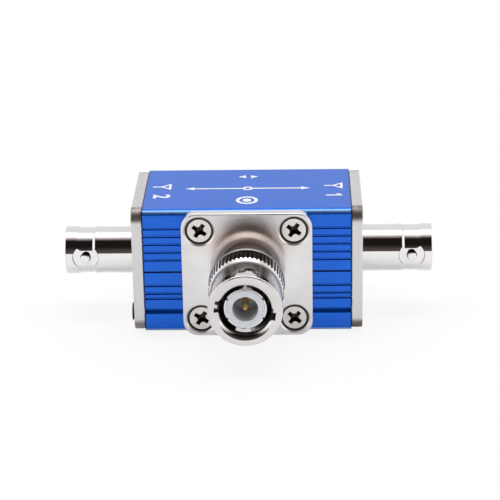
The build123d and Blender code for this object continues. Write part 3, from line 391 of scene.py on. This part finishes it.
def make_screw_metal():
    """Nickel screws whose cross recesses are darkened inside by painted shade."""
    material, tree, shader = new_material("screw_nickel")
    _, y, _ = object_axes(tree)
    clouds = noise(tree, SCREW_CLOUDS)
    grains = noise(tree, SCREW_GRAINS)
    color = ramp_colors(tree, clouds, SCREW)
    # Painted shade inside the cross recesses, broken by specks.
    deep = rising(tree, y, RECESS_DEPTH)
    specks = map_range(tree, grains, RECESS_SPECKS, RECESS_SHARE)
    painted_shade = math_node(tree, "MULTIPLY", deep, specks)
    tree.links.new(mixed_color(tree, painted_shade, color, RECESS_PAINTED_SHADE), shader.inputs["Base Color"])
    rough = map_range(tree, clouds, MIDDLE, SCREW_ROUGHNESS)
    tree.links.new(mixed_value(tree, deep, rough, RECESS_ROUGHNESS), shader.inputs["Roughness"])
    shader.inputs["Metallic"].default_value = 1.0
    bump(tree, shader, clouds, SCREW_BUMP)
    return material


# ---------------------------------------------------------------- coupling ring

RING = ((0.655, 0.635, 0.63), (0.705, 0.685, 0.68))
# Colour of the painted shade in the bore, the knurl, the rim and the neck's corner.
RING_PAINTED_SHADE = (0.045, 0.032, 0.026)
RING_ROUGHNESS = (0.05, 0.09)
NECK_ROUGHNESS = 0.11
DULL_ROUGHNESS = 0.42
TURNED_LINES = 2600.0
TURNED_BUMP = 30e-6
LINES_ON_NECK = 0.95
LINES_EVERYWHERE = 0.05

# Steps of the ring's profile, from its back to its front.
RING_BACK_Y = -18.3
RING_RIM_Y = -19.1
KNURL_END_Y = -23.5
NECK_BACK_Y = -24.5
NECK_FRONT_Y = -30.9
RING_FRONT_Y = -32.7

# Bands where painted shade darkens the bore, the knurl's grooves, the rim and the neck's corner.
BORE = Band(5.15, 5.4)
BORE_FRONT = Band(RING_FRONT_Y + 0.4, RING_FRONT_Y + 0.55)
BORE_BACK = Band(RING_BACK_Y - 0.3, RING_BACK_Y - 0.1)
BORE_SHADE = 0.93
GROOVE = Band(7.09, 7.16)
KNURL_FRONT = Band(KNURL_END_Y - 0.1, KNURL_END_Y + 0.1)
KNURL_BACK = Band(RING_RIM_Y - 0.4, RING_RIM_Y - 0.2)
KNURL_SHADE = 0.95
RIM_FRONT = Band(RING_RIM_Y - 0.62, RING_RIM_Y - 0.5)
RIM_BACK = Band(RING_RIM_Y - 0.05, RING_RIM_Y + 0.05)
CORNER_FRONT = Band(NECK_BACK_Y - 0.3, NECK_BACK_Y - 0.15)
CORNER_BACK = Band(NECK_BACK_Y + 0.2, NECK_BACK_Y + 0.35)
DULL_SHADE = 0.55
NECK_FRONT = Band(NECK_FRONT_Y, NECK_FRONT_Y + 0.1)
NECK_BACK = Band(NECK_BACK_Y - 0.1, NECK_BACK_Y)


def make_ring_metal():
    """Nickel coupling ring with a finely turned neck and painted shade in the bore and the knurl.

    The rim and the neck's corner are duller all round and darkened by painted shade, because in the
    photograph they don't mirror the blue case.
    """
    material, tree, shader = new_material("ring_nickel")
    x, y, z = object_axes(tree)
    distance = axis_distance(tree, x, z)
    clouds = noise(tree, PLATING_CLOUDS)
    lines = noise(tree, TURNED_LINES, AROUND_PLUG, detail=4.0, roughness=0.7)
    color = ramp_colors(tree, clouds, RING)
    # Painted shade inside the bore.
    bore = math_node(
        tree,
        "MULTIPLY",
        falling(tree, distance, BORE),
        rising(tree, y, BORE_FRONT),
        falling(tree, y, BORE_BACK),
    )
    # Painted shade in the knurl's grooves.
    knurl = math_node(
        tree,
        "MULTIPLY",
        falling(tree, distance, GROOVE),
        rising(tree, y, KNURL_FRONT),
        falling(tree, y, KNURL_BACK),
    )
    # The rim and the neck's corner: duller, and darkened by painted shade.
    behind_knurl = rising(tree, y, RIM_FRONT)
    rim = math_node(tree, "MULTIPLY", behind_knurl, falling(tree, y, RIM_BACK))
    corner = math_node(
        tree, "MULTIPLY", rising(tree, y, CORNER_FRONT), falling(tree, y, CORNER_BACK)
    )
    neck = math_node(tree, "MULTIPLY", rising(tree, y, NECK_FRONT), falling(tree, y, NECK_BACK))
    rough = map_range(tree, clouds, MIDDLE, RING_ROUGHNESS)
    rough = mixed_value(tree, neck, rough, NECK_ROUGHNESS)
    dull = math_node(tree, "MAXIMUM", behind_knurl, corner, bore)
    tree.links.new(mixed_value(tree, dull, rough, DULL_ROUGHNESS), shader.inputs["Roughness"])
    # Painted shade in the bore, the knurl, the rim and the neck's corner.
    painted_shade = math_node(
        tree,
        "MAXIMUM",
        math_node(tree, "MULTIPLY", bore, BORE_SHADE),
        math_node(tree, "MULTIPLY", knurl, KNURL_SHADE),
        math_node(tree, "MULTIPLY", math_node(tree, "MAXIMUM", rim, corner), DULL_SHADE),
    )
    tree.links.new(mixed_color(tree, painted_shade, color, RING_PAINTED_SHADE), shader.inputs["Base Color"])
    shader.inputs["Metallic"].default_value = 1.0
    on_neck = math_node(tree, "MULTIPLY", neck, LINES_ON_NECK)
    strength = math_node(tree, "ADD", on_neck, LINES_EVERYWHERE)
    bump(tree, shader, math_node(tree, "MULTIPLY", lines, strength), TURNED_BUMP)
    return material


# ---------------------------------------------------------------- other metals and plastics

JACK = ((0.80, 0.785, 0.785), (0.85, 0.83, 0.83))
NICKEL = ((0.77, 0.755, 0.755), (0.82, 0.80, 0.80))
BLACK_OXIDE = ((0.02, 0.02, 0.022), (0.04, 0.04, 0.042))
GOLD = ((0.62, 0.40, 0.14), (0.74, 0.50, 0.20))
SPRING_STEEL = ((0.5, 0.5, 0.5), (0.6, 0.6, 0.6))
SILVER = ((0.8, 0.79, 0.76), (0.88, 0.87, 0.84))
TIN = ((0.62, 0.62, 0.61), (0.72, 0.72, 0.71))
WHITE_PLASTIC = ((0.76, 0.80, 0.87), (0.83, 0.86, 0.92))
PHENOLIC = ((0.015, 0.015, 0.018), (0.03, 0.03, 0.034))
NYLON = ((0.75, 0.72, 0.65), (0.82, 0.79, 0.72))
GASKET = ((0.5, 0.48, 0.45), (0.58, 0.56, 0.53))
WHITE_INK = ((0.82, 0.84, 0.88), (0.90, 0.92, 0.95))

PLATING_GRAINS = 4200.0
PLATING_BUMP = 0.8e-6
MIRROR_ROUGHNESS = (0.05, 0.09)
PLASTIC_GRAIN = 900.0
PLASTIC_BUMP = 2e-6
INK_GRAIN = 6000.0
INK_BUMP = 1e-6
ROUGHNESS_SPREAD = 0.05
INSULATOR_ROUGHNESS = 0.35
INSULATOR_SUBSURFACE = 0.1
SUBSURFACE_SCALE = 0.0008  # metres

# A jack's lug: painted shade in the groove at its root and on the edge of the flat that it stands
# on.
LUG_X = 32.45
LUG_PAINTED_SHADE = (0.06, 0.052, 0.05)
ROOT_INNER = Band(0.80, 0.86)
ROOT_OUTER = Band(0.98, 1.08)
FLAT_EDGE_INNER = Band(2.46, 2.53, 0.6)
FLAT_EDGE_OUTER = Band(2.57, 2.66)
LUG_SIDE_INNER = Band(4.25, 4.33)
LUG_SIDE_OUTER = Band(5.3, 5.42)

SOCKET_RADIUS = 2.45
SOCKET_INSIDE = Band(SOCKET_RADIUS + 0.02, SOCKET_RADIUS + 0.1)
INSULATOR_TIP_Y = -31.70
SOCKET_DEPTH = Band(INSULATOR_TIP_Y + 0.05, INSULATOR_TIP_Y + 2.5, 0.45)
SOCKET_GREY = (0.42, 0.41, 0.43)


def lug_painted_shade(tree, color):
    """Painted shade: a dark root round each bayonet lug, and a darker edge round its flat."""
    x, y, z = object_axes(tree)
    distance = axis_distance(tree, distance_to_pair(tree, x, LUG_X), z)
    across = math_node(tree, "ABSOLUTE", y)
    root = math_node(
        tree, "MULTIPLY", rising(tree, distance, ROOT_INNER), falling(tree, distance, ROOT_OUTER)
    )
    flat_edge = math_node(
        tree,
        "MULTIPLY",
        rising(tree, distance, FLAT_EDGE_INNER),
        falling(tree, distance, FLAT_EDGE_OUTER),
    )
    side = math_node(
        tree,
        "MULTIPLY",
        rising(tree, across, LUG_SIDE_INNER),
        falling(tree, across, LUG_SIDE_OUTER),
    )
    # Painted shade at the lug's root and on the flat's edge.
    painted_shade = math_node(tree, "MULTIPLY", math_node(tree, "MAXIMUM", root, flat_edge), side)
    return mixed_color(tree, painted_shade, color, LUG_PAINTED_SHADE)


def socket_shade(tree, color):
    """Greyer towards the bottom of the plug's socket."""
    x, y, z = object_axes(tree)
    inside = falling(tree, axis_distance(tree, x, z), SOCKET_INSIDE)
    shade = math_node(tree, "MULTIPLY", inside, rising(tree, y, SOCKET_DEPTH))
    return mixed_color(tree, shade, color, SOCKET_GREY)


def plated_metal(name, colors, roughness, paint=None):
    """Plated metal with faint clouding and very fine unevenness."""
    material, tree, shader = new_material(name)
    clouds = noise(tree, PLATING_CLOUDS)
    grains = noise(tree, PLATING_GRAINS)
    color = ramp_colors(tree, clouds, colors)
    if paint is not None:
        color = paint(tree, color)
    tree.links.new(color, shader.inputs["Base Color"])
    tree.links.new(map_range(tree, grains, MIDDLE, roughness), shader.inputs["Roughness"])
    shader.inputs["Metallic"].default_value = 1.0
    bump(tree, shader, clouds, PLATING_BUMP)
    return material


def plastic(
    name, colors, roughness, scale=PLASTIC_GRAIN, depth=PLASTIC_BUMP, subsurface=0.0, paint=None
):
    """Plastic or ink with a fine grain."""
    material, tree, shader = new_material(name)
    grain = noise(tree, scale, detail=4.0)
    color = ramp_colors(tree, grain, colors)
    if paint is not None:
        color = paint(tree, color)
    tree.links.new(color, shader.inputs["Base Color"])
    spread = (roughness - ROUGHNESS_SPREAD, roughness + ROUGHNESS_SPREAD)
    tree.links.new(map_range(tree, grain, MOST, spread), shader.inputs["Roughness"])
    shader.inputs["Subsurface Weight"].default_value = subsurface
    shader.inputs["Subsurface Scale"].default_value = SUBSURFACE_SCALE
    bump(tree, shader, grain, depth)
    return material


def white_plastic(name, paint=None):
    return plastic(
        name, WHITE_PLASTIC, INSULATOR_ROUGHNESS, subsurface=INSULATOR_SUBSURFACE, paint=paint
    )


nickel = plated_metal("nickel", NICKEL, MIRROR_ROUGHNESS)
spring_steel = plated_metal("spring_steel", SPRING_STEEL, roughness=(0.2, 0.3))
silver = plated_metal("silver", SILVER, roughness=(0.2, 0.3))
tin = plated_metal("tin", TIN, roughness=(0.25, 0.4))
gold = plated_metal("gold", GOLD, roughness=(0.14, 0.22))
blue = make_blue()
ink = plastic("white_ink", WHITE_INK, roughness=0.5, scale=INK_GRAIN, depth=INK_BUMP)

# ---------------------------------------------------------------- materials of the CAD nodes

# The ends of node names that tell two or three nodes of a kind apart.
NODE_ENDINGS = ("_left", "_right", "_plug")

NODE_MATERIALS = {
    "upper_shell": blue,
    "lower_shell": blue,
    "end_plate": make_plate_metal(),
    "end_plate_screws": plated_metal("black_steel", BLACK_OXIDE, roughness=(0.3, 0.42)),
    "plug_body": make_flange_metal(),
    "flange_screws": make_screw_metal(),
    "plug_sleeve": nickel,
    "plug_insulator": white_plastic("plug_insulator", socket_shade),
    "plug_pin": gold,
    "plug_gasket": plastic("gasket_rubber", GASKET, roughness=0.5),
    "coupling_ring": make_ring_metal(),
    "ring_slip_washer": spring_steel,
    "ring_spring_washer": spring_steel,
    # The jack's lugs get painted shade at their roots and round their flats.
    "jack_body": plated_metal("jack_nickel", JACK, MIRROR_ROUGHNESS, lug_painted_shade),
    "jack_insulator": white_plastic("white_insulator"),
    "jack_contact": gold,
    "jack_ground_tag": tin,
    "jack_lock_washer": spring_steel,
    "jack_nut": nickel,
    "toggle_case": plastic("phenolic", PHENOLIC, roughness=0.45),
    "toggle_frame": nickel,
    "toggle_washer": spring_steel,
    "toggle_nut": nickel,
    "toggle_lever": nickel,
    "toggle_plunger": plastic("nylon", NYLON, roughness=0.45),
    "toggle_spring": spring_steel,
    "toggle_rocker": silver,
    "toggle_terminals": silver,
    "signal_lead": tin,
    "ground_lead": tin,
}

for node_name, node_object in nodes.items():
    kind = node_name
    for ending in NODE_ENDINGS:
        kind = kind.removesuffix(ending)
    node_object.data.materials.clear()
    node_object.data.materials.append(NODE_MATERIALS[kind])

# ---------------------------------------------------------------- printed marks

# Ink below and above the case's top face.
INK_LOW = -0.01
INK_HIGH = 0.02

QUARTER_TURN = -math.pi / 2
JACK_SIGN_X = 17.05
NUMERAL_Y = -4.3
NUMERAL_TWO_SIZE = 4.6
NUMERAL_TWO_SWELL = 0.1
ANTENNA_Y = 1.4
TWO_WAY_Y = 0.1
PLUG_SIGN_Y = -6.9
TOGGLE_SIGN_Y = 7.2

NUMERAL_ONE = [
    (-0.27, -1.6),
    (0.27, -1.6),
    (0.27, 1.6),
    (-0.2, 1.6),
    (-1.0, 0.9),
    (-1.0, 0.35),
    (-0.27, 0.9),
]

# Antenna sign: a hollow triangle on a mast.
TRIANGLE_OUTER = [(-1.8, 1.8), (1.8, 1.8), (0.0, -0.5)]
TRIANGLE_INNER = [(-0.85, 1.33), (0.85, 1.33), (0.0, 0.25)]
MAST = [(-0.24, -0.2), (0.0, -0.5), (0.24, -0.2), (0.24, -1.9), (-0.24, -1.9)]

# Two-way line: a small circle with an arrow to each jack.
STROKE = 0.55
ARROW_TIP = 12.4
ARROW_BACK = 10.6
ARROW_HALF_WIDTH = 0.85
CENTRE_CIRCLE = (1.05, 0.5)

# Plug sign: a circle round a dot, by outer and inner radius.
PLUG_CIRCLE = (2.15, 1.5)
PLUG_DOT = (0.85, 0.02)
CIRCLE_STEPS = 40
DOT_STEPS = 24

# Toggle sign: two triangles that point away from each other.
TOGGLE_POINT = 2.0
TOGGLE_BASE = 0.5
TOGGLE_HALF_WIDTH = 0.9


def print_piece(name, mesh):
    """Piece of ink that rides on the case."""
    piece = bpy.data.objects.new(name, mesh)
    scene.collection.objects.link(piece)
    mesh.materials.clear()
    mesh.materials.append(ink)
    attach(piece, "housing")


def flat_print(name, outlines, place, turn=0.0):
    """Thin raised ink on the top face; each outline is a list of points."""
    builder = bmesh.new()
    turned = Matrix.Rotation(turn, 2)
    for outline in outlines:
        rows = []
        for height in (INK_LOW, INK_HIGH):
            row = []
            for point in outline:
                x, y = turned @ Vector(point)
                x, y, z = x + place[0], y + place[1], TOP_Z + height
                row.append(builder.verts.new((x * MM, y * MM, z * MM)))
            rows.append(row)
        lower, upper = rows
        builder.faces.new(list(reversed(lower)))
        builder.faces.new(upper)
        for index in range(len(outline)):
            following = (index + 1) % len(outline)
            builder.faces.new((lower[index], lower[following], upper[following], upper[index]))
    bmesh.ops.recalc_face_normals(builder, faces=builder.faces)
    mesh = bpy.data.meshes.new(name)
    builder.to_mesh(mesh)
    builder.free()
    print_piece(name, mesh)


def bar(start_x, end_x):
    """Outline of a straight stroke along X."""
    half = STROKE / 2
    return [(start_x, -half), (end_x, -half), (end_x, half), (start_x, half)]


def ring_print(outer, inner, steps):
    """Circle line as short outlines of four corners."""
    outlines = []
    for index in range(steps):
        first, second = (math.tau * number / steps for number in (index, index + 1))
        corners = ((inner, first), (outer, first), (outer, second), (inner, second))
        outlines.append(
            [(radius * math.cos(turn), radius * math.sin(turn)) for radius, turn in corners]
        )
    return outlines


def make_numeral(name, text, size, swell, place, turn):
    """Plain numeral of the built-in font as thin raised ink."""
    curve = bpy.data.curves.new(name + "_curve", "FONT")
    curve.body = text
    curve.size = size * MM
    curve.extrude = (INK_HIGH - INK_LOW) / 2 * MM
    curve.offset = swell * MM
    curve.align_x = "CENTER"
    curve.align_y = "CENTER"
    holder = bpy.data.objects.new(name + "_holder", curve)
    mesh = bpy.data.meshes.new_from_object(holder)
    bpy.data.objects.remove(holder)
    middle = (TOP_Z + (INK_LOW + INK_HIGH) / 2) * MM
    shift = Matrix.Translation((place[0] * MM, place[1] * MM, middle))
    mesh.transform(shift @ Matrix.Rotation(turn, 4, "Z"))
    print_piece(name, mesh)


def make_prints():
    """Numerals 1 and 2 by the two jacks, and plain wiring signs for what each end is."""
    flat_print("print_numeral_1", [NUMERAL_ONE], (JACK_SIGN_X, NUMERAL_Y), QUARTER_TURN)
    make_numeral(
        "print_numeral_2",
        "2",
        NUMERAL_TWO_SIZE,
        NUMERAL_TWO_SWELL,
        (-JACK_SIGN_X, NUMERAL_Y),
        QUARTER_TURN,
    )
    antenna = []
    for index in range(len(TRIANGLE_OUTER)):
        following = (index + 1) % len(TRIANGLE_OUTER)
        antenna.append(
            [
                TRIANGLE_OUTER[index],
                TRIANGLE_OUTER[following],
                TRIANGLE_INNER[following],
                TRIANGLE_INNER[index],
            ]
        )
    antenna.append(MAST)
    for label, side in (("1", 1), ("2", -1)):
        flat_print("print_antenna_" + label, antenna, (side * JACK_SIGN_X, ANTENNA_Y), QUARTER_TURN)
    arrows = [bar(-ARROW_BACK, -CENTRE_CIRCLE[0]), bar(CENTRE_CIRCLE[0], ARROW_BACK)]
    toggles = []
    for side in (-1, 1):
        arrows.append(
            [
                (side * ARROW_TIP, 0.0),
                (side * ARROW_BACK, side * ARROW_HALF_WIDTH),
                (side * ARROW_BACK, -side * ARROW_HALF_WIDTH),
            ]
        )
        toggles.append(
            [
                (side * TOGGLE_POINT, 0.0),
                (side * TOGGLE_BASE, side * TOGGLE_HALF_WIDTH),
                (side * TOGGLE_BASE, -side * TOGGLE_HALF_WIDTH),
            ]
        )
    two_way = arrows + ring_print(*CENTRE_CIRCLE, CIRCLE_STEPS)
    flat_print("print_two_way_line", two_way, (0.0, TWO_WAY_Y))
    plug_sign = ring_print(*PLUG_CIRCLE, CIRCLE_STEPS) + ring_print(*PLUG_DOT, DOT_STEPS)
    flat_print("print_plug_sign", plug_sign, (0.0, PLUG_SIGN_Y))
    flat_print("print_toggle_sign", toggles, (0.0, TOGGLE_SIGN_Y))


make_prints()

# ---------------------------------------------------------------- floor

FLOOR_HALF = 1.5  # metres
FLOOR_Z = -0.01
FLOOR_PAINT = (0.95, 0.95, 0.95)
WHITE = (1.0, 1.0, 1.0)

# How much of the floor shows as plain white to the camera and in reflections.
FLOOR_WHITE_SEEN = 0.85
FLOOR_WHITE_MIRRORED = 0.4


def make_floor():
    """White floor that shows as the plain background and keeps the object's shadow."""
    half, low = FLOOR_HALF, FLOOR_Z * MM
    corners = [(-half, -half, low), (half, -half, low), (half, half, low), (-half, half, low)]
    mesh = bpy.data.meshes.new("floor")
    mesh.from_pydata(corners, [], [(0, 1, 2, 3)])
    floor = bpy.data.objects.new("floor", mesh)
    scene.collection.objects.link(floor)
    material = bpy.data.materials.new("floor")
    material.use_nodes = True
    tree = material.node_tree
    tree.nodes.clear()
    output = tree.nodes.new("ShaderNodeOutputMaterial")
    rays = tree.nodes.new("ShaderNodeLightPath").outputs
    diffuse = tree.nodes.new("ShaderNodeBsdfDiffuse")
    diffuse.inputs["Color"].default_value = (*FLOOR_PAINT, 1)
    glow = tree.nodes.new("ShaderNodeEmission")
    glow.inputs["Color"].default_value = (*WHITE, 1)
    glow.inputs["Strength"].default_value = 1.0
    seen = math_node(tree, "MULTIPLY", rays["Is Camera Ray"], FLOOR_WHITE_SEEN)
    mirrored = math_node(tree, "MAXIMUM", rays["Is Glossy Ray"], rays["Is Transmission Ray"])
    mirrored = math_node(tree, "MULTIPLY", mirrored, FLOOR_WHITE_MIRRORED)
    mix = tree.nodes.new("ShaderNodeMixShader")
    tree.links.new(math_node(tree, "MAXIMUM", seen, mirrored), mix.inputs["Fac"])
    tree.links.new(diffuse.outputs[0], mix.inputs[1])
    tree.links.new(glow.outputs[0], mix.inputs[2])
    tree.links.new(mix.outputs[0], output.inputs["Surface"])
    mesh.materials.append(material)


# ---------------------------------------------------------------- world

# Heights are degrees round the X axis: 0 is level on the plug's side, 90 is overhead and 180
# level behind. A side is the share of a direction that lies along X, either way.
DARK_FOOT = Band(-1.0, 2.0)
DARK_TOP = Band(62.0, 88.0)
DARK_SIDE = Band(0.4, 0.7)
DARK_LEVEL = 0.012
DARK_TINT = (1.0, 0.82, 0.76)
LOW_GLOW = Band(8.0, 34.0, 0.07)
PANEL_START = Band(78.0, 90.0)
PANEL_END = Band(102.0, 116.0)
PANEL_LEVEL = 0.8
STRIP_START = Band(92.0, 96.0)
STRIP_END = Band(104.0, 108.0)
STRIP_LEVEL = 4.0
LAMP_SIDE = Band(0.35, 0.6)
BEHIND_HEIGHT = (112.0, 122.0)
BEHIND_LEVEL = (1.0, 0.87)
FLANK_SIDE = (0.6, 0.85)
FLANK_LEVEL = (1.0, 1.35)


def make_world():
    """White light tent with a bright panel and strip overhead and a dark opening in front."""
    world = bpy.data.worlds.new("studio")
    scene.world = world
    world.use_nodes = True
    tree = world.node_tree
    background = tree.nodes["Background"]
    coordinates = tree.nodes.new("ShaderNodeTexCoord")
    parts = tree.nodes.new("ShaderNodeSeparateXYZ")
    tree.links.new(coordinates.outputs["Generated"], parts.inputs[0])
    ahead = math_node(tree, "MULTIPLY", parts.outputs["Y"], -1.0)
    angle = math_node(tree, "ARCTAN2", parts.outputs["Z"], ahead)
    height = math_node(tree, "MULTIPLY", angle, math.degrees(1.0))
    side = math_node(tree, "ABSOLUTE", parts.outputs["X"])

    dark = math_node(
        tree,
        "MULTIPLY",
        rising(tree, height, DARK_FOOT),
        falling(tree, height, DARK_TOP),
        falling(tree, side, DARK_SIDE),
    )
    lamp_side = falling(tree, side, LAMP_SIDE)
    lamps = []
    for start, end, level in (
        (PANEL_START, PANEL_END, PANEL_LEVEL),
        (STRIP_START, STRIP_END, STRIP_LEVEL),
    ):
        shape = (rising(tree, height, start), falling(tree, height, end), lamp_side)
        lamps.append(math_node(tree, "MULTIPLY", *shape, level))
    behind = map_range(tree, height, BEHIND_HEIGHT, BEHIND_LEVEL)
    flank = map_range(tree, side, FLANK_SIDE, FLANK_LEVEL)
    tent = math_node(tree, "MULTIPLY", behind, flank)
    shade = map_range(tree, dark, (0.0, 1.0), (1.0, DARK_LEVEL), smooth=False)
    lit = math_node(tree, "MULTIPLY", math_node(tree, "ADD", tent, *lamps), shade)
    level = math_node(tree, "ADD", lit, falling(tree, height, LOW_GLOW))

    # The camera itself sees plain white, and everything else sees the tent.
    seen = tree.nodes.new("ShaderNodeLightPath").outputs["Is Camera Ray"]
    unseen = math_node(tree, "SUBTRACT", 1.0, seen)
    level = math_node(tree, "ADD", math_node(tree, "MULTIPLY", level, unseen), seen)
    tree.links.new(level, background.inputs["Strength"])
    tinted = math_node(tree, "MULTIPLY", dark, unseen)
    tree.links.new(mixed_color(tree, tinted, (*WHITE, 1), DARK_TINT), background.inputs["Color"])


make_floor()
make_world()
